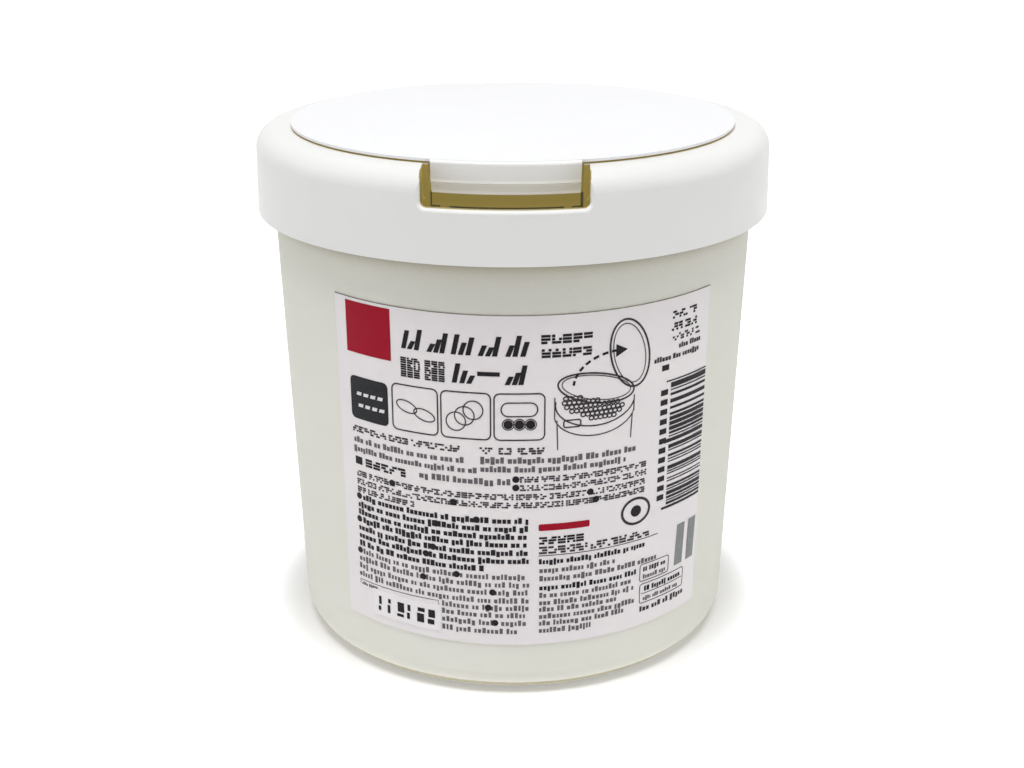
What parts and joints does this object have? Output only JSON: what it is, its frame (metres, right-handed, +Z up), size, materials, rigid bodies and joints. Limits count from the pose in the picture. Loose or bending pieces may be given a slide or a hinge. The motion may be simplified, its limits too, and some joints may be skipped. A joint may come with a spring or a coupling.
{
  "type": "cotton swab tub",
  "caption": "Round plastic tub for cotton swabs with a lift-off lid ring, a hinged flap that a push button in the front notch releases, and a paper label.",
  "frame": {"origin": "middle of the tub's base, on the surface it stands on", "axes": "+Z up along the tub's axis, -Y towards the front notch and push button, +X to the right seen from the front"},
  "size_m": [0.096, 0.096, 0.0993],
  "materials": {
    "tub_plastic": "satin",
    "lid_plastic": "satin",
    "flap_plastic": "satin",
    "button_plastic": "satin",
    "label_paper": "coated paper",
    "sticker_paper": "coated paper"
  },
  "bodies": {
    "tub": {"tub": "tub_plastic", "label": "label_paper", "lot_sticker": "sticker_paper"},
    "lid_ring": {"collar": "lid_plastic"},
    "flap": {"flap": "flap_plastic"},
    "button": {"push_button": "button_plastic"}
  },
  "joints": [
    {"name": "lid_lift", "type": "slide", "parent": "tub", "child": "lid_ring", "axis": [0, 0, 1], "range_m": [0, 0.03]},
    {"name": "flap_hinge", "type": "hinge", "parent": "lid_ring", "child": "flap", "pos_m": [0, 0.0408, 0.096], "axis": [-1, 0, 0], "range_deg": [0, 100]},
    {"name": "button_press", "type": "hinge", "parent": "lid_ring", "child": "button", "pos_m": [0, -0.0382, 0.0883], "axis": [1, 0, 0], "range_deg": [0, 10], "stiffness_Nm_per_rad": 0.2}
  ]
}
